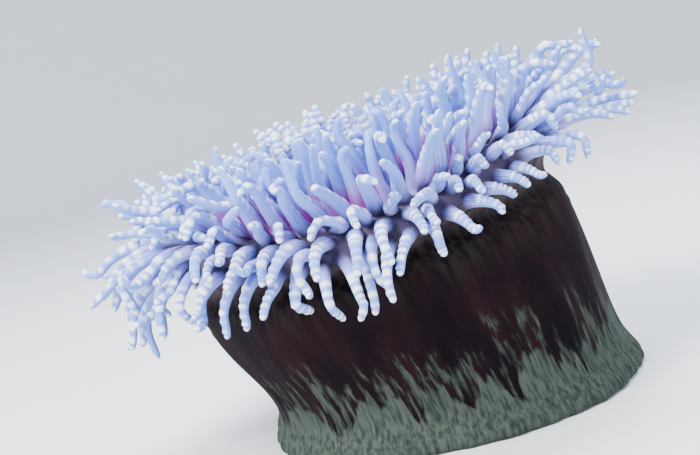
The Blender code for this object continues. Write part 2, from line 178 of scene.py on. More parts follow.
def grown_tentacles(rows, seed):
    """Each tentacle as it would grow with no neighbours, in the disc's own frame."""
    rng = np.random.RandomState(seed)
    grown = []
    for number, row in enumerate(rows):
        radius, height, reach = row.get("radius", 0), DISC_HEIGHT, row.get("radius", 0)
        if "roll" in row:
            angle = math.radians(row["roll"])
            radius = ROLL_START + ROLL_RADIUS * math.cos(angle)
            height = DISC_HEIGHT - ROLL_RADIUS + ROLL_RADIUS * math.sin(angle)
            reach = ROLL_START + ROLL_RADIUS * (math.pi / 2 - angle)
        for sector in range(SECTORS):
            for place in range(row["each"]):
                share = (place + 0.5 + row["shift"]) / row["each"]
                azimuth = 2 * math.pi * (sector + share) / SECTORS
                core = np.array([min(radius, ROLL_START), DISC_HEIGHT - ROLL_RADIUS])
                skin = np.array([radius, height])
                inner = skin + (core - skin) * ROOT_DEPTH / np.linalg.norm(core - skin)
                ray = np.array([[math.cos(azimuth), math.sin(azimuth)]])
                base, root = (
                    in_crown(np.concatenate([ray * point[0], [[point[1]]]], 1))[0]
                    for point in (skin, inner)
                )
                tuft = waves(TUFTS, azimuth, number)
                sway = math.radians(tuft + rng.normal(0, SWAY_SPREAD))
                nod = waves(NODS, azimuth, number) + rng.normal(0, NOD_SPREAD)
                lift = math.radians(row["rise"] + LIFT * (EVEN_SAG - sagging(azimuth)))
                rise = lift + math.radians(nod)
                sag = math.radians(row["sag"] * sagging(azimuth) + rng.normal(0, SAG_SPREAD))
                turn = rng.normal(0, TURN_SPREAD)
                hooked = rng.rand() < HOOKED_SHARE
                hook = math.radians(rng.uniform(*HOOK_RANGE))
                hook *= 1 if rng.rand() < HOOKS_DOWN_SHARE else -1
                length = row["length"] * fullness(azimuth, "radius" in row)
                length *= rng.uniform(*LENGTH_RANGE)
                radii = row["stem"] * np.array(STEM_TAPER) + TIP_RADIUS
                radii *= rng.uniform(*GIRTH_RANGE)
                nodes = [base]
                for span in range(SPANS):
                    part = (span + 0.5) / SPANS
                    bend = rise - sag * part**1.3
                    if hooked and span == SPANS - 1:
                        bend -= hook
                    step = direction(azimuth + sway * (0.5 + part) + turn * part * part, bend)
                    nodes.append(nodes[-1] + step * length / SPANS)
                grown.append(
                    {
                        "azimuth": azimuth,
                        "reach": reach,
                        "root": root,
                        "nodes": np.array(nodes),
                        "radii": radii,
                    }
                )
    return grown


def kept_off_body(points, girth):
    """Points pushed out of the disc, the rolled margin and the column below it."""
    radius = np.hypot(points[:, 0], points[:, 1])
    azimuth = np.arctan2(points[:, 1], points[:, 0])
    share = lobes(azimuth, 1.0)
    level = points[:, 2] - crown_wave(azimuth, radius)
    upright = radius / share
    across = upright - ROLL_START
    drop = level + ROLL_RADIUS
    reach = np.hypot(across, drop)
    wanted = ROLL_RADIUS + girth + CLEARANCE
    beside = (across > 0) & (drop > 0) & (reach < wanted)
    push = np.where(beside, wanted - reach, 0)
    upright += push * across / np.maximum(reach, 1e-6)
    level += push * drop / np.maximum(reach, 1e-6)
    below = (drop <= 0) & (upright < ROLL_START + wanted)
    upright = np.where(below, ROLL_START + wanted, upright)
    low = (across <= 0) & (level < girth + CLEARANCE) & (drop > 0)
    level = np.where(low, girth + CLEARANCE, level)
    radius = upright * share
    moved = np.stack([radius * np.cos(azimuth), radius * np.sin(azimuth), level], 1)
    moved[:, 2] += crown_wave(azimuth, radius)
    return moved


def crowded(spheres, girth, owner):
    """The pairs of spheres of different tentacles that stand close together."""
    square = (spheres**2).sum(1)
    apart = np.sqrt(np.maximum(square[:, None] + square - 2 * spheres @ spheres.T, 0))
    near = apart < girth[:, None] + girth + CROWDING_REACH
    return np.nonzero(near & (owner[:, None] < owner))


STRIDE, RECALL = 1.3, 0.010  # how far a touch pushes, and how strongly the grown shape pulls


def settled(grown, steps, still=0):
    """Tentacles pushed apart until no two of them touch, the first few of them kept still.

    A row of spheres stands for each tentacle. Spheres that touch push each other off, and
    the push goes on to the tentacle's nodes, which keep their distances from each other.
    """
    rest = np.array([t["nodes"] for t in grown])
    nodes = rest.copy()
    stem = np.array([t["radii"] for t in grown])
    lengths = np.linalg.norm(np.diff(rest, axis=1), axis=2)
    count = SPANS * SAMPLES_PER_SPAN + 1
    place = np.linspace(0, SPANS, count)
    weight = np.clip(1 - np.abs(place[:, None] - np.arange(SPANS + 1)), 0, 1)
    girth = (stem @ weight.T).ravel()
    owner = np.repeat(np.arange(len(grown)), count)
    for step in range(steps):
        spheres = (weight @ nodes).reshape(-1, 3)
        if step % 8 == 0:
            first, second = crowded(spheres, girth, owner)
        between = spheres[first] - spheres[second]
        apart = np.linalg.norm(between, axis=1)
        short = np.clip(girth[first] + girth[second] + CLEARANCE - apart, 0, None)
        shove = between * (0.5 * short / np.maximum(apart, 1e-6))[:, None]
        moved = np.zeros_like(spheres)
        hits = np.zeros(len(spheres))
        np.add.at(moved, first, shove)
        np.add.at(moved, second, -shove)
        np.add.at(hits, first, short > 0)
        np.add.at(hits, second, short > 0)
        moved = (moved / np.maximum(hits, 1)[:, None]).reshape(-1, count, 3)
        struck = (hits > 0).astype(float).reshape(-1, count)
        pull = np.maximum(struck @ weight, 0.5)
        nodes += STRIDE * np.einsum("tsx,sn->tnx", moved, weight) / pull[..., None]
        nodes += RECALL * (1 - step / steps) * (rest - nodes)
        nodes[:still] = rest[:still]
        nodes[:, 0] = rest[:, 0]
        for node in range(1, SPANS + 1):
            nodes[:, node] = kept_off_body(nodes[:, node], stem[:, node])
            span = nodes[:, node] - nodes[:, node - 1]
            span /= np.linalg.norm(span, axis=1)[:, None]
            nodes[:, node] = nodes[:, node - 1] + span * lengths[:, node - 1, None]
    nodes[:still] = rest[:still]
    for tentacle, line in zip(grown, nodes):
        tentacle["nodes"] = line
    return grown


tentacles = settled(grown_tentacles(ROWS, seed=7), steps=160)

# Younger, thinner tentacles stand between the rows and give way to the grown ones.
SHOOT_ROWS = (
    {"radius": 0.0680, "each": 2, "shift": 0.50, "rise": 84, "sag": 4, "length": 0.047, "stem": 0.0047},
    {"radius": 0.0812, "each": 3, "shift": 0.50, "rise": 79, "sag": 8, "length": 0.050, "stem": 0.0047},
    {"radius": 0.0975, "each": 3, "shift": 0.40, "rise": 66, "sag": 18, "length": 0.052, "stem": 0.0046},
    {"roll": 84, "each": 3, "shift": 0.45, "rise": 48, "sag": 30, "length": 0.052, "stem": 0.0042},
    {"roll": 24, "each": 2, "shift": 0.50, "rise": 12, "sag": 44, "length": 0.052, "stem": 0.0040},
)
GROWN = len(tentacles)
tentacles = [*tentacles, *grown_tentacles(SHOOT_ROWS, seed=11)]
tentacles = settled(tentacles, steps=60, still=GROWN)

# ---- The crown's skin ---------------------------------------------------------------
# One sheet of flesh covers the disc and its rolled margin. It is laid out flat as a
# honeycomb with one cell for each tentacle, and a ring of spare cells along each edge.
INNER_EDGE, INNER_CELLS = 0.046, 36
OUTER_EDGE, OUTER_CELLS = 0.150, 72
CONE_RISE, CONE_SPREAD = 0.009, 0.024
DISH_DEPTH, DISH_RADIUS, DISH_SPREAD = 0.004, 0.047, 0.016


def disc_dish(radius):
    """The height of the disc above the floor: a shallow dish round a raised mouth."""
    cone = CONE_RISE * np.exp(-((radius / CONE_SPREAD) ** 2))
    dish = DISH_DEPTH * np.exp(-(((radius - DISH_RADIUS) / DISH_SPREAD) ** 2))
    return DISC_HEIGHT + cone - dish


def crown_point(azimuth, reach):
    """The upright point a given distance from the disc's middle, measured over the skin."""
    radius, height = reach, disc_dish(reach)
    if reach > ROLL_START:
        angle = math.pi / 2 - (reach - ROLL_START) / ROLL_RADIUS
        radius = ROLL_START + ROLL_RADIUS * math.cos(angle)
        height = DISC_HEIGHT - ROLL_RADIUS + ROLL_RADIUS * math.sin(angle)
    return (radius * math.cos(azimuth), radius * math.sin(azimuth), float(height))


def flat_point(azimuth, reach):
    """A point of the crown's sheet as it is laid out flat."""
    return Vector((reach * math.cos(azimuth), reach * math.sin(azimuth)))


def by_turn(keys, middle, flat):
    """Corner keys in their order round a middle, seen from outside."""
    return sorted(keys, key=lambda k: math.atan2(flat[k].y - middle.y, flat[k].x - middle.x))


def honeycomb():
    """The cells' corners as upright points, and each cell as a list of its corners."""
    seeds = [flat_point(t["azimuth"], t["reach"]) for t in tentacles]
    rims = []
    for edge, cells in ((INNER_EDGE, INNER_CELLS), (OUTER_EDGE, OUTER_CELLS)):
        start = len(seeds)
        rims.append(range(start, start + cells))
        seeds += [flat_point(2 * math.pi * (j + 0.5) / cells, edge) for j in range(cells)]
    flat, incident = {}, {number: [] for number in range(len(seeds))}
    made = delaunay_2d_cdt(seeds, [], [], 0, 1e-7)
    for number, triangle in enumerate(made[2]):
        corners = [made[3][v][0] for v in triangle]
        if all(c in rims[0] for c in corners):
            continue
        flat["middle", number] = sum((seeds[c] for c in corners), Vector((0, 0))) / 3
        for corner in corners:
            incident[corner].append(("middle", number))
    for rim, edge, cells in zip(rims, (INNER_EDGE, OUTER_EDGE), (INNER_CELLS, OUTER_CELLS)):
        for j, seed in enumerate(rim):
            flat["rim", seed] = seeds[seed]
            flat["between", seed] = flat_point(2 * math.pi * j / cells, edge)
            after = rim[(j + 1) % cells]
            incident[seed] += [("rim", seed), ("between", seed), ("between", after)]
    keys = list(flat)
    place = {key: index for index, key in enumerate(keys)}
    points = [crown_point(math.atan2(flat[k].y, flat[k].x), flat[k].length) for k in keys]
    cells = []
    for seed, around in incident.items():
        middle = sum((flat[k] for k in around), Vector((0, 0))) / len(around)
        cells.append([place[k] for k in by_turn(around, middle, flat)])
    return points, cells


points, cells = honeycomb()
mesh = bpy.data.meshes.new("anemone_skin")
mesh.from_pydata(points, [], cells)
skin = bpy.data.objects.new("anemone_skin", mesh)
bpy.context.scene.collection.objects.link(skin)
bpy.context.view_layer.objects.active = skin
skin.select_set(True)
cell_of = mesh.attributes.new("cell", "INT", "FACE")
cell_of.data.foreach_set("value", [n if n < len(tentacles) else -1 for n in range(len(cells))])

# ---- The column, the foot and the mouth ---------------------------------------------
# A stout muscular column of smooth skin stands on a broad flat foot. Its outline and
# the outline of the bare disc and the throat are spun on from the edges of the crown.
COLUMN_OUTLINE = (  # radius and height, from the groove under the margin to the sole
    (0.1130, 0.1212), (0.1142, 0.1175), (0.1185, 0.1135), (0.1212, 0.1075), (0.1216, 0.1000),
    (0.1212, 0.0920), (0.1206, 0.0840), (0.1198, 0.0760), (0.1188, 0.0680), (0.1176, 0.0600),
    (0.1165, 0.0525), (0.1155, 0.0455), (0.1148, 0.0390), (0.1144, 0.0330), (0.1144, 0.0275),
    (0.1150, 0.0222), (0.1164, 0.0170), (0.1190, 0.0120), (0.1214, 0.0075), (0.1224, 0.0035),
    (0.1218, 0.0006), (0.1180, 0.0), (0.0900, 0.0), (0.0500, 0.0), (0.0, 0.0),
)
THROAT_OUTLINE = (  # radius and height above the disc's plane, from the disc to the gullet
    (0.0380, None), (0.0300, None), (0.0235, None), (0.0190, 0.0080), (0.0165, 0.0108),
    (0.0138, 0.0112), (0.0115, 0.0090), (0.0100, 0.0040), (0.0080, -0.0060), (0.0, -0.0130),
)


def spin_outline(outline, steps):
    """Adds an outline at zero azimuth to the active mesh and spins it once round its axis."""
    bpy.ops.object.mode_set(mode="EDIT")
    bpy.ops.mesh.select_all(action="DESELECT")
    form = bmesh.from_edit_mesh(bpy.context.object.data)
    line = [form.verts.new((radius, 0, height)) for radius, height in outline]
    for start, end in zip(line, line[1:]):
        form.edges.new((start, end))
    for vertex in line:
        vertex.select_set(True)
    form.select_flush(True)
    bmesh.update_edit_mesh(bpy.context.object.data)
    bpy.ops.mesh.spin(
        steps=steps, angle=2 * math.pi, center=(0, 0, 0), axis=(0, 0, 1), use_auto_merge=True
    )
    bpy.ops.mesh.select_all(action="SELECT")
    bpy.ops.mesh.remove_doubles(threshold=2e-5)
    bpy.ops.mesh.normals_make_consistent(inside=False)
    bpy.ops.mesh.select_all(action="DESELECT")
    bpy.ops.object.mode_set(mode="OBJECT")


rim = crown_point(0, OUTER_EDGE)
spin_outline([(rim[0], rim[2]), *COLUMN_OUTLINE], 2 * OUTER_CELLS)
throat = [(INNER_EDGE, float(disc_dish(INNER_EDGE)))]
for radius, height in THROAT_OUTLINE:
    throat.append((radius, float(disc_dish(radius)) if height is None else DISC_HEIGHT + height))
spin_outline(throat, 2 * INNER_CELLS)

# The upright place of each point is kept, because the markings and furrows follow it.
upright = np.empty(len(mesh.vertices) * 3)
mesh.vertices.foreach_get("co", upright)
upright = upright.reshape(-1, 3)
mesh.attributes.new("upright", "FLOAT_VECTOR", "POINT").data.foreach_set("vector", upright.ravel())

# So is its place on the sheet laid out flat, which the unwrap follows.
across = np.hypot(*upright.T[:2]) - ROLL_START
drop = upright[:, 2] - DISC_HEIGHT + ROLL_RADIUS
reach = np.where(across > 0, ROLL_RADIUS * (math.pi / 2 - np.arctan2(drop, across)), across)
stretch = (reach + ROLL_START) / np.maximum(across + ROLL_START, 1e-6)
flat = upright * np.stack([stretch, stretch, np.zeros(len(stretch))], 1)
mesh.attributes.new("flat", "FLOAT_VECTOR", "POINT").data.foreach_set("vector", flat.ravel())
mesh.vertices.foreach_set("co", stance(upright).ravel())

# ---- The tentacles ------------------------------------------------------------------
# Each cell of the crown is drawn out ring by ring along its tentacle's midline, smooth at
# the base. The outer half bears raised white bars on the side that faces up to the mouth.
BASE_SHARES = (0.0, 0.10)  # places of the first rings, as shares of the length
SMOOTH_SHARES = (0.20, 0.30)
SHOULDER = 0.972  # the tip rounds off from here
GIRTHS = ((0, 1.42), (0.1, 1.12), (0.2, 1.03), (0.7, 1.0), (0.9, 1.02), (SHOULDER, 0.86), (1, 0.46))
BASE_INSET = 0.20  # the free strip of skin round a base, as a share of the cell
FIRST_BAR, LAST_BAR, BAR_SHIFT = 0.40, 0.88, 0.028
GROWN_BARS, SHOOT_BARS = 5, 4
WHITENESS = (0.25, 1.0)
CREST, DIP = 0.0005, -0.0002  # the skin's rise on a bar and between two
TIP_SHARE = 1.03  # stands for the point at the very tip
DOME = 0.25  # the rise of the very tip, as a share of its radius
CURL_START = 0.74  # tips curl over from this share of the length
CURLED_SHARE = 0.40
CURLED_ANGLES, STRAIGHT_ANGLES = (55, 115), (0, 35)  # degrees that a tip turns
STEPS_PER_KNOT = 12


class Midline:
    """A tentacle's smooth midline, with the side that faces up to the mouth carried along it."""

    def __init__(self, tentacle, angle, side):
        knots = on_crown(np.array([tentacle["root"], *tentacle["nodes"]]))
        knots = np.array([*knots, 2 * knots[-1] - knots[-2]])
        line = []
        for before, start, end, after in zip(knots, knots[1:], knots[2:], knots[3:]):
            for t in np.arange(STEPS_PER_KNOT) / STEPS_PER_KNOT:
                straight = 2 * start + (end - before) * t
                bent = (2 * before - 5 * start + 4 * end - after) * t**2
                eased = (3 * start - before - 3 * end + after) * t**3
                line.append(0.5 * (straight + bent + eased))
        line.append(knots[-2])
        self.line = np.array(line)
        steps = np.linalg.norm(np.diff(self.line, axis=0), axis=1)
        self.walked = np.concatenate([[0], np.cumsum(steps)])
        self.length = self.walked[-1]
        self.radii = tentacle["radii"]
        self.curl(angle, side)
        self.tangents = np.gradient(self.line, axis=0)
        self.tangents /= np.linalg.norm(self.tangents, axis=1)[:, None]
        azimuth = tentacle["azimuth"]
        inward = Vector((-math.cos(azimuth), -math.sin(azimuth), 1.0))
        facing = [np.array(crown_frame.to_3x3() @ inward)]
        for tangent in self.tangents:
            side = facing[-1] - tangent * (facing[-1] @ tangent)
            facing.append(side / np.linalg.norm(side))
        self.facing = np.array(facing[1:])

    def curl(self, angle, side):
        """Bends the tip over to one side, ever more towards its end."""
        start = int(np.searchsorted(self.walked, CURL_START * self.length))
        steps = np.diff(self.line[start:], axis=0)
        lengths = np.linalg.norm(steps, axis=1)[:, None]
        forward = steps / lengths
        side = side - forward * (forward @ side)[:, None]
        side /= np.linalg.norm(side, axis=1)[:, None]
        turn = angle * np.linspace(0, 1, len(steps))[:, None]
        steps = lengths * (np.cos(turn) * forward + np.sin(turn) * side)
        self.line[start + 1 :] = self.line[start] + np.cumsum(steps, axis=0)

    def at(self, share):
        """The point, the tangent, the barred side and the radius at a share of the length."""
        walked = share * self.length

        def between(rows):
            return np.array([np.interp(walked, self.walked, rows[:, i]) for i in range(3)])

        tangent, facing = between(self.tangents), between(self.facing)
        tangent /= np.linalg.norm(tangent)
        facing -= tangent * (facing @ tangent)
        radius = np.interp(share, np.linspace(0, 1, len(self.radii)), self.radii)
        radius *= np.interp(share, *zip(*GIRTHS))
        return between(self.line), tangent, facing / np.linalg.norm(facing), radius


def rings(count, rng):
    """A tentacle's rings above its base: share of the length, rise of the skin, whiteness."""
    crests = np.linspace(FIRST_BAR, LAST_BAR, count)
    crests += rng.uniform(-BAR_SHIFT, BAR_SHIFT, count)
    dips = (crests + np.append(crests[1:], SHOULDER)) / 2
    made = [(share, 0, 0) for share in SMOOTH_SHARES]
    for crest, dip in zip(crests, dips):
        made += [(crest, CREST, rng.uniform(*WHITENESS)), (dip, DIP, 0)]
    return [*made, (SHOULDER, 0, 0.7), (1.0, 0, 0.8)]


rng = np.random.RandomState(3)
tones = rng.rand(len(tentacles))
tips = on_crown(np.array([t["nodes"][-1] for t in tentacles]))
midlines = []
for tentacle, tip in zip(tentacles, tips):
    away = tip - tips
    apart = np.maximum(np.linalg.norm(away, axis=1), 0.002)[:, None]
    open_side = (away / apart**3).sum(0)  # points from the nearest tips to where there is room
    side = open_side / np.linalg.norm(open_side) + rng.normal(0, 0.25, 3)
    curled = rng.rand() < CURLED_SHARE
    angle = math.radians(rng.uniform(*(CURLED_ANGLES if curled else STRAIGHT_ANGLES)))
    midlines.append(Midline(tentacle, angle, side))

# A tentacle's point will hold its turn round the midline, as a cosine and a sine, and its
# share of the length, then its tentacle's number and tone, and how white it is.
mesh.attributes.new("limb", "FLOAT_VECTOR", "POINT")
for name in ("owner", "tone", "white"):
    mesh.attributes.new(name, "FLOAT", "POINT")
bpy.ops.object.mode_set(mode="EDIT")
bpy.ops.mesh.select_mode(type="FACE")
form = bmesh.from_edit_mesh(mesh)
form.faces.ensure_lookup_table()
for number in range(len(tentacles)):
    form.faces[number].select_set(True)
bmesh.update_edit_mesh(mesh)
spokes = {}  # the angle of each corner of a tentacle's ring, and the even angle it tends to
for share in BASE_SHARES:
    bpy.ops.mesh.extrude_faces_indiv()
    form = bmesh.from_edit_mesh(mesh)
    layer = form.faces.layers.int["cell"]
    limb, flat = (form.verts.layers.float_vector[name] for name in ("limb", "flat"))
    owner, tone = (form.verts.layers.float[name] for name in ("owner", "tone"))
    for face in form.faces:
        if not face.select:
            continue
        number, corners = face[layer], list(face.verts)
        point, tangent, facing, radius = midlines[number].at(share)
        across = np.cross(tangent, facing)
        old = np.array([v.co for v in corners])
        if share == 0:
            arm = old - point
            angles = np.arctan2(arm @ across, arm @ facing)
            even = 2 * math.pi * np.arange(len(corners)) / len(corners)
            turn = np.angle(np.exp(1j * (angles - even)).mean())
            spokes[number] = angles, np.angle(np.exp(1j * (even + turn - angles)))
            ring = (1 - BASE_INSET) * old + BASE_INSET * old.mean(0)
            laid = np.array([v[flat] for v in corners])
            laid = (1 - BASE_INSET) * laid + BASE_INSET * laid.mean(0)
            for vertex, place in zip(corners, laid):
                vertex[flat] = place
        else:
            angles = sum(spokes[number])
            # The smoothing below draws a ring of few corners in, so the ring starts wider.
            radius /= 0.75 + 0.25 * math.cos(2 * math.pi / len(corners))
            ring = point + radius * (
                np.cos(angles)[:, None] * facing + np.sin(angles)[:, None] * across
            )
        for vertex, place, angle in zip(corners, ring, angles):
            vertex.co = place
            vertex[limb] = (math.cos(angle), math.sin(angle), share)
            vertex[owner], vertex[tone] = number, tones[number]
    bmesh.update_edit_mesh(mesh)
form = bmesh.from_edit_mesh(mesh)
layer = form.faces.layers.int["cell"]
for face in form.faces:
    if not face.select:
        face[layer] = -1
bmesh.update_edit_mesh(mesh)
bpy.ops.mesh.select_all(action="DESELECT")
bpy.ops.object.mode_set(mode="OBJECT")
smooth = skin.modifiers.new("smooth", "SUBSURF")
smooth.levels = smooth.render_levels = 1
bpy.ops.object.modifier_apply(modifier="smooth")

shoots = range(GROWN, len(tentacles))
for members, bars in ((range(GROWN), GROWN_BARS), (shoots, SHOOT_BARS)):
    stations = {number: rings(bars, rng) for number in members}
    bpy.ops.object.mode_set(mode="EDIT")
    form = bmesh.from_edit_mesh(mesh)
    layer = form.faces.layers.int["cell"]
    for face in form.faces:
        face.select_set(face[layer] in members)
    bmesh.update_edit_mesh(mesh)
    for step in range(len(stations[members[0]])):
        if step:
            bpy.ops.mesh.extrude_region()
        form = bmesh.from_edit_mesh(mesh)
        layer = form.faces.layers.int["cell"]
        limb = form.verts.layers.float_vector["limb"]
        tone = form.verts.layers.float["tone"]
        white = form.verts.layers.float["white"]
        caps = {}
        for face in form.faces:
            if face.select:
                caps.setdefault(face[layer], set()).update(face.verts)
        for number, corners in caps.items():
            share, rise, whiteness = stations[number][step]
            before = stations[number][max(step - 1, 0)][0]
            point, tangent, facing, radius = midlines[number].at(before)
            arm = np.array([v.co for v in corners]) - point
            angles = np.arctan2(arm @ np.cross(tangent, facing), arm @ facing)
            point, tangent, facing, radius = midlines[number].at(share)
            swell = radius + rise * np.clip(np.cos(angles), 0, 1)
            ring = point + swell[:, None] * (
                np.cos(angles)[:, None] * facing
                + np.sin(angles)[:, None] * np.cross(tangent, facing)
            )
            for vertex, place, angle in zip(corners, ring, angles):
                vertex.co, vertex[limb] = place, (math.cos(angle), math.sin(angle), share)
                if all(f.select for f in vertex.link_faces):  # the middle of the cap
                    vertex.co, vertex[limb] = point + DOME * radius * tangent, (0, 0, TIP_SHARE)
                vertex[tone], vertex[white] = tones[number], whiteness
        bmesh.update_edit_mesh(mesh)
    bpy.ops.mesh.select_all(action="DESELECT")
    bpy.ops.object.mode_set(mode="OBJECT")
bpy.ops.object.shade_smooth()

# ---- The skin's folds ---------------------------------------------------------------
# The contracted column is furrowed lengthwise, most of all at the foot, and creased
# across below the crown. The lips are ribbed and close to a slit.
PLEATS = (  # depth, number round the column, share of the wander, turn, height where they fade
    (0.0007, 36, 0.5, 0, 0.040),
    (0.0004, 61, -0.4, 2, 0.025),
)
BROAD_DEPTH, BROAD_FOLDS, BROAD_TOP = 0.0010, 13, 0.12
CREASE_DEPTH, CREASE_PITCH = 0.0004, 0.0088
CREASE_HEIGHT, CREASE_SPREAD = 0.106, 0.012
FOLDS_TOP = 0.120
RIBS = 24  # round the mouth, and fainter ones on the disc
LIP_RIBS = {"depth": 0.0012, "radius": 0.0150, "spread": 0.0030, "turn": 0}
DISC_RIBS = {"depth": 0.0004, "radius": 0.032, "spread": 0.010, "turn": 2}
SLIT_SQUEEZE, SLIT_REACH = 0.80, 0.0175
count = len(mesh.vertices)
upright, limbs, shown = np.empty(count * 3), np.empty(count * 3), np.empty(count * 3)
mesh.attributes["upright"].data.foreach_get("vector", upright)
mesh.attributes["limb"].data.foreach_get("vector", limbs)
mesh.vertices.foreach_get("co", shown)
upright, limbs, shown = (values.reshape(-1, 3) for values in (upright, limbs, shown))
x, y, z = upright.T
azimuth, radius = np.arctan2(y, x), np.hypot(x, y)
wander = 0.10 * np.sin(3 * azimuth + 40 * z) + 0.06 * np.sin(7 * azimuth - 55 * z + 1)
furrows = np.zeros(count)
for depth, number, share, turn, fade in PLEATS:
    pleat = np.sin(number * (azimuth + share * wander) + turn) - 1
    furrows += depth * pleat * np.exp(-z / fade)
broad = np.sin(BROAD_FOLDS * azimuth + 7 * wander) - 1
furrows += BROAD_DEPTH * broad * np.sin(math.pi * np.clip(z / BROAD_TOP, 0, 1))
creases = np.sin(2 * math.pi * z / CREASE_PITCH + 2 * np.sin(4 * azimuth) + 9 * wander) - 1
furrows += CREASE_DEPTH * creases * np.exp(-(((z - CREASE_HEIGHT) / CREASE_SPREAD) ** 2))
furrows[(z > FOLDS_TOP) | (radius < 0.09)] = 0
folded = upright * np.stack([1 + furrows / np.maximum(radius, 0.01)] * 2 + [np.ones(count)], 1)
middle = (radius < 0.05) & (z > FOLDS_TOP)
for rib in (LIP_RIBS, DISC_RIBS):
    rise = rib["depth"] * np.exp(-(((radius - rib["radius"]) / rib["spread"]) ** 2))
    folded[middle, 2] += (rise * np.cos(RIBS * azimuth + rib["turn"]))[middle]
folded[middle, 1] *= 1 - SLIT_SQUEEZE * np.clip(1.2 - radius[middle] / SLIT_REACH, 0, 1)
still = limbs[:, 2] > 0
folded[still] = upright[still]
mesh.vertices.foreach_set("co", (shown + stance(folded) - stance(upright)).ravel())

# ---- The skin's unwrap --------------------------------------------------------------
# The skin is slit and laid out flat as a hide would be: a grid of tentacles, each slit
# along its outer side, over a band with the column's strip and the disc's round sheet.
# A small gap is left round each patch.
GRID = 30  # tentacles side by side
TIERS = math.ceil(len(tentacles) / GRID)
BAND = 0.215  # the band's height, and the side of the square that holds the disc
STRIP = 0.775  # the column's width
SOLE_RADIUS, SOLE_EDGE = COLUMN_OUTLINE[-5]  # the sole is squeezed, because it is never seen
SOLE_SQUEEZE = 0.15
SLIT_ROOM = 1.12  # turns that a slit tentacle may take, with the faces on the slit
corner = np.empty(len(mesh.loops), int)
mesh.loops.foreach_get("vertex_index", corner)
first = np.empty(len(mesh.polygons), int)
mesh.polygons.foreach_get("loop_start", first)
face_of = np.repeat(np.arange(len(first)), np.diff([*first, len(corner)]))
owner, flat = np.empty(count), np.empty(count * 3)
mesh.attributes["owner"].data.foreach_get("value", owner)
mesh.attributes["flat"].data.foreach_get("vector", flat)


def unrolled(across, along):
    """Each corner's turn round an axis, kept together on a face that crosses the slit."""
    turn = np.arctan2(along, across) / (2 * math.pi)
    known = np.hypot(across, along) > 1e-4  # not so at a pole
    low = np.minimum.reduceat(np.where(known, turn, 1), first)[face_of]
    high = np.maximum.reduceat(np.where(known, turn, -1), first)[face_of]
    turn = turn + ((high - low > 0.5) & (turn < 0))
    total = np.add.reduceat(np.where(known, turn, 0), first)[face_of]
    sharers = np.maximum(np.add.reduceat(known.astype(int), first), 1)[face_of]
    return 0.5 + np.where(known, turn, total / sharers)


x, y, z = upright[corner].T
down = rim[2] - z + np.where(z < SOLE_EDGE, SOLE_SQUEEZE * (SOLE_RADIUS - np.hypot(x, y)), 0)
round_column = STRIP * (0.004 + 0.98 * unrolled(x, y))
laid = np.stack([round_column, BAND * (0.98 - 0.96 * down / down.max())], 1)
on_disc = np.add.reduceat(z, first)[face_of] / np.bincount(face_of)[face_of] > rim[2]
sheet = 0.5 + 0.98 * flat.reshape(-1, 3)[corner, :2] / (2 * OUTER_EDGE)
laid[on_disc] = ((1 - BAND, 0) + BAND * sheet)[on_disc]
on_limb = np.maximum.reduceat(limbs[corner, 2], first)[face_of] > 0
number = np.round(owner[corner])
across = number % GRID + 0.04 + 0.92 * unrolled(*limbs[corner, :2].T) / SLIT_ROOM
along = number // GRID + 0.03 + 0.94 * limbs[corner, 2] / TIP_SHARE
tubes = np.stack([across / GRID, BAND + along * (1 - BAND) / TIERS], 1)
laid[on_limb] = tubes[on_limb]
mesh.uv_layers.new(name="OFBake").uv.foreach_set("vector", laid.ravel())

# ---- The skin's colours -------------------------------------------------------------
# Soft wet flesh: clear blue tentacles with white bars, a very dark maroon column and a pale
# grey-green foot. The markings follow the upright body, and on a tentacle its midline.
def paint(red, green, blue):
    """A screen colour, 0 to 255, as the colour that the shader takes."""
    return (*(((c / 255 + 0.055) / 1.055) ** 2.4 for c in (red, green, blue)), 1)


class Flow:
    """One socket of the skin's material, which joins sums as a number does."""

    tree = None

    def __init__(self, socket):
        self.socket = socket

    @classmethod
    def node(cls, kind, settings, inputs, output=0):
        made = cls.tree.nodes.new(kind)
        for name, value in settings.items():
            setattr(made, name, value)
        for key, value in inputs.items():
            if isinstance(value, Flow):
                cls.tree.links.new(value.socket, made.inputs[key])
            else:
                made.inputs[key].default_value = value
        return cls(made.outputs[output])

    @classmethod
    def math(cls, operation, *values, clamp=False):
        settings = {"operation": operation, "use_clamp": clamp}
        return cls.node("ShaderNodeMath", settings, dict(enumerate(values)))

    def __add__(self, other):
        return Flow.math("ADD", self, other)

    def __radd__(self, other):
        return Flow.math("ADD", other, self)

    def __sub__(self, other):
        return Flow.math("SUBTRACT", self, other)

    def __rsub__(self, other):
        return Flow.math("SUBTRACT", other, self)

    def __mul__(self, other):
        return Flow.math("MULTIPLY", self, other)

    def __rmul__(self, other):
        return Flow.math("MULTIPLY", other, self)

    def between(self, low, high):
        """0 below low, 1 above high, and a smooth rise from one to the other."""
        inputs = {"Value": self, "From Min": low, "From Max": high}
        settings = {"interpolation_type": "SMOOTHSTEP"}
        return Flow.node("ShaderNodeMapRange", settings, inputs)

    def blend(self, low, high):
        """A colour that turns from low to high as this goes from 0 to 1."""
        return Flow.node("ShaderNodeMix", {"data_type": "RGBA"}, {0: self, 6: low, 7: high}, 2)


def noise(place, scale, detail=3.0, roughness=0.55):
    """Soft noise at a place, mostly between 0.3 and 0.7."""
    inputs = {"Vector": place, "Scale": scale, "Detail": detail, "Roughness": roughness}
    return Flow.node("ShaderNodeTexNoise", {}, inputs)


def scaled(vector, factors):
    """A vector with each of its parts multiplied."""
    inputs = {0: vector, 1: factors}
    return Flow.node("ShaderNodeVectorMath", {"operation": "MULTIPLY"}, inputs)


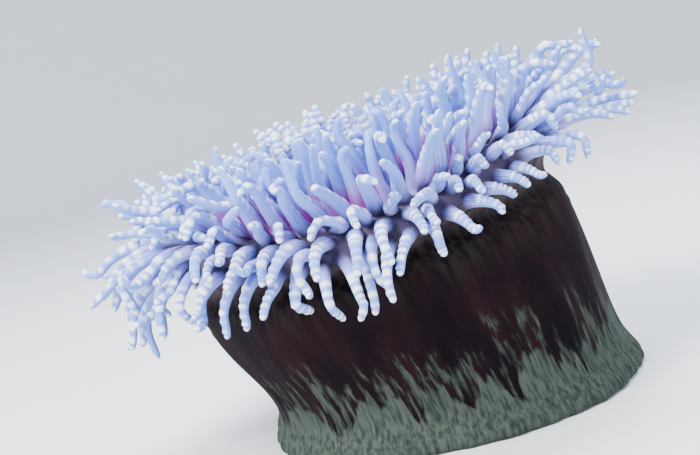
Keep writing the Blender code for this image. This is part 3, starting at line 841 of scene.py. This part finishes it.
flesh = bpy.data.materials.new("anemone_flesh")
flesh.use_nodes = True
Flow.tree = flesh.node_tree
body = flesh.node_tree.nodes["Principled BSDF"]
placed = Flow.node("ShaderNodeAttribute", {"attribute_name": "upright"}, {}, 1)
height = Flow.node("ShaderNodeSeparateXYZ", {}, {0: placed}, 2)
limb = Flow.node("ShaderNodeAttribute", {"attribute_name": "limb"}, {}, 1)
mouth_side = Flow.node("ShaderNodeSeparateXYZ", {}, {0: limb}, 0)
share = Flow.node("ShaderNodeSeparateXYZ", {}, {0: limb}, 2)
tone = Flow.node("ShaderNodeAttribute", {"attribute_name": "tone"}, {}, 2)
spot = Flow.node("ShaderNodeTexCoord", {}, {}, 3)
grain = noise(spot, 420.0)

# The column's streaks run up and down, so its noise is drawn out upwards. The pale foot
# ends in a ragged edge of flames and thin streaks.
wide_streak = noise(scaled(placed, (1, 1, 0.25)), 62.0)
fine_streak = noise(scaled(placed, (1, 1, 0.14)), 260.0)
column = wide_streak.between(0.30, 0.75).blend(paint(12, 8, 13), paint(32, 15, 20))
olive = (height - 0.004 * wide_streak).between(0.080, 0.124)
column = (olive * fine_streak.between(0.35, 0.70)).blend(column, paint(40, 37, 33))
flame = noise(scaled(placed, (1, 1, 0.12)), 85.0, 2.0)
band = 0.017 + 0.014 * flame.between(0.42, 0.54) + 0.012 * wide_streak.between(0.30, 0.70)
solid = (band - height).between(-0.0025, 0.0025)
streaks = (0.030 + 0.036 * wide_streak.between(0.30, 0.65) - height).between(-0.012, 0.002)
streaks = streaks * fine_streak.between(0.46, 0.60)
pale = Flow.math("MAXIMUM", solid, streaks * 0.8, clamp=True)
wrinkle = noise(scaled(placed, (1, 1, 0.13)), 460.0, 4.0)
foot = wrinkle.between(0.30, 0.68).blend(paint(38, 46, 43), paint(70, 78, 70))
column = pale.blend(column, foot)

# The crown's flesh is dark brown at the margin: its own brown, darkened with painted shade
# under the tentacles. It is lavender with magenta patches round the bases, and mauve with
# pale rays on the bare disc. The lips are paler, the gullet dark.
level = scaled(placed, (1, 1, 0))
reach = Flow.node("ShaderNodeVectorMath", {"operation": "LENGTH"}, {0: level}, 1)
ray = Flow.node("ShaderNodeVectorMath", {"operation": "NORMALIZE"}, {0: level})
patch = noise(placed, 38.0, 2.0)
middle = 1 - reach.between(0.098, 0.114)
disc = (middle * patch.between(0.44, 0.54)).blend(paint(140, 128, 196), paint(170, 44, 160))
# The rolled margin is painted dark brown: partly the flesh's own brown, partly painted shade under the
# tentacles.
margin = height.between(0.126, 0.150) * (1 - 0.85 * reach.between(0.102, 0.114))
brown_and_shade_mottle = noise(scaled(placed, (1, 1, 0.5)), 120.0).between(0.36, 0.64)
disc = margin.blend(brown_and_shade_mottle.blend(paint(38, 32, 34), paint(66, 56, 54)), disc)
bare = noise(ray, 11.0, 4.0).between(0.36, 0.62).blend(paint(96, 74, 124), paint(160, 150, 204))
disc = reach.between(0.044, 0.060).blend(bare, disc)
disc = reach.between(0.016, 0.025).blend(paint(186, 166, 204), disc)
disc = reach.between(0.0085, 0.0140).blend(paint(58, 22, 52), disc)
crown = height.between(0.118, 0.127).blend(column, disc)

# The tentacles: clear blue-white trunks, and opaque white bars on the mouth's side.
shifted = Flow.node("ShaderNodeVectorMath", {"operation": "ADD"}, {0: limb, 1: tone * 17})
lines = noise(scaled(shifted, (1.6, 1.6, 0.25)), 6.0, 3.0)
trunk = lines.between(0.35, 0.65).blend(paint(88, 104, 212), paint(170, 184, 250))
trunk = (0.5 * tone).blend(trunk, paint(190, 186, 238))
trunk = (0.8 * share.between(0.34, 0.60)).blend(trunk, paint(120, 156, 232))
flush = middle * patch.between(0.42, 0.54) * (1 - share.between(0.18, 0.54))
trunk = (0.95 * flush).blend(trunk, paint(184, 54, 172))
# Each tentacle's base takes the crown's colour, with the margin's brown and painted shade.
trunk = share.between(0.02, 0.32).blend(crown, trunk)
whiteness = Flow.node("ShaderNodeAttribute", {"attribute_name": "white"}, {}, 2)
side = (mouth_side + 1.2 * (grain - 0.5)).between(-0.45, 0.35)
white = (whiteness + 0.5 * (grain - 0.5)).between(0.10, 0.70) * side
colour = white.blend(trunk, paint(242, 250, 255))
Flow.tree.links.new(colour.socket, body.inputs["Base Color"])

# The tentacles and the middle of the crown are wet and shine more than the column does.
on_tentacle = share.between(0.0, 0.02)
damp = Flow.math("MAXIMUM", on_tentacle, middle)
dry = 0.74 - 0.42 * damp + 0.2 * (grain - 0.5)
Flow.tree.links.new(dry.socket, body.inputs["Roughness"])
wet = 0.26 * damp
Flow.tree.links.new(wet.socket, body.inputs["Coat Weight"])
swell = white * 0.2 + lines * share.between(0.02, 0.1) * 0.25 + grain * 0.12
furrow = (1 - on_tentacle) * (fine_streak * 0.3 + pale * wrinkle * 1.5)
relief = {"Strength": 0.6, "Distance": 0.0012, "Height": swell + furrow}
bump = Flow.node("ShaderNodeBump", {}, relief)
Flow.tree.links.new(bump.socket, body.inputs["Normal"])
body.inputs["Subsurface Weight"].default_value = 0.35
body.inputs["Subsurface Radius"].default_value = (0.8, 0.9, 1.0)
body.inputs["Subsurface Scale"].default_value = 0.003
body.inputs["Coat Roughness"].default_value = 0.15
body.inputs["IOR"].default_value = 1.12
mesh.materials.append(flesh)
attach(skin, "root")
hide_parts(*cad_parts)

# ---- The floor ----------------------------------------------------------------------
# The model stands on plain pale paper. Well away from it, the paper sweeps up into a round
# wall, so that no edge shows.
FLOOR_RADIUS, WALL_TOP = 1.9, 2.2
SWEEP, SWEEP_STEPS = 0.7, 8
bpy.ops.object.select_all(action="DESELECT")
bpy.ops.mesh.primitive_circle_add(vertices=96, radius=FLOOR_RADIUS, fill_type="NGON")
floor = bpy.context.active_object
floor.name = "floor"
bpy.ops.object.mode_set(mode="EDIT")
bpy.ops.mesh.select_all(action="SELECT")
bpy.ops.mesh.region_to_loop()
width, top = FLOOR_RADIUS, 0.0
for step in range(1, SWEEP_STEPS + 1):
    turn = math.radians(90 * step / SWEEP_STEPS)
    wider, higher = FLOOR_RADIUS + SWEEP * math.sin(turn), SWEEP * (1 - math.cos(turn))
    bpy.ops.mesh.extrude_edges_indiv()
    bpy.ops.transform.resize(value=(wider / width, wider / width, 1), center_override=(0, 0, 0))
    bpy.ops.transform.translate(value=(0, 0, higher - top))
    width, top = wider, higher
bpy.ops.mesh.extrude_edges_indiv()
bpy.ops.transform.translate(value=(0, 0, WALL_TOP - top))
bpy.ops.object.mode_set(mode="OBJECT")
bpy.ops.object.shade_smooth()
paper = bpy.data.materials.new("floor_paper")
paper.use_nodes = True
paper.node_tree.nodes["Principled BSDF"].inputs["Base Color"].default_value = paint(226, 229, 233)
paper.node_tree.nodes["Principled BSDF"].inputs["Roughness"].default_value = 0.9
floor.data.materials.append(paper)

# ---- Lights and camera --------------------------------------------------------------
# A large key light from the upper left, a weak fill and a light from above and behind, in
# a pale room. The camera looks slightly down and is rolled, so that the crown tilts.
LIT = Vector((-0.02, 0, 0.12))  # the point that all lights face
AIM = Vector((-0.0415, 0, 0.125))  # the point in the middle of the picture
VIEW_WIDTH, DISTANCE = 0.448, 1.0  # how much the picture spans at that point, and how far off
ELEVATION, ROLL = math.radians(8.0), math.radians(13.5)
SENSOR = 36
world = bpy.data.worlds.new("room")
world.use_nodes = True
world.node_tree.nodes["Background"].inputs["Color"].default_value = (0.80, 0.86, 1.0, 1)
world.node_tree.nodes["Background"].inputs["Strength"].default_value = 0.95
bpy.context.scene.world = world


def lamp(name, place, size, power, colour):
    """A round, soft light that faces the model."""
    light = bpy.data.lights.new(name, "AREA")
    light.shape = "DISK"
    light.size, light.energy, light.color = size, power, colour
    holder = bpy.data.objects.new(name, light)
    turn = (LIT - Vector(place)).to_track_quat("-Z", "Y").to_matrix().to_4x4()
    holder.matrix_world = Matrix.Translation(place) @ turn
    bpy.context.scene.collection.objects.link(holder)


lamp("key", (-0.75, -0.85, 1.25), 0.7, 64, (1.0, 0.99, 0.97))
lamp("fill", (0.95, -0.9, 0.6), 0.9, 8, (0.86, 0.92, 1.0))
lamp("top", (0.15, 0.55, 1.35), 0.8, 38, (0.9, 0.95, 1.0))

look = Vector((0, math.cos(ELEVATION), -math.sin(ELEVATION)))
upward = Vector((0, math.sin(ELEVATION), math.cos(ELEVATION)))
sideways = Vector((1, 0, 0))
right = math.cos(ROLL) * sideways - math.sin(ROLL) * upward
above = math.sin(ROLL) * sideways + math.cos(ROLL) * upward
camera = bpy.data.cameras.new("camera")
camera.sensor_width, camera.lens = SENSOR, SENSOR * DISTANCE / VIEW_WIDTH
viewer = bpy.data.objects.new("camera", camera)
turn = Matrix((right, above, -look)).transposed().to_4x4()
viewer.matrix_world = Matrix.Translation(AIM - look * DISTANCE) @ turn
bpy.context.scene.collection.objects.link(viewer)
bpy.context.scene.camera = viewer
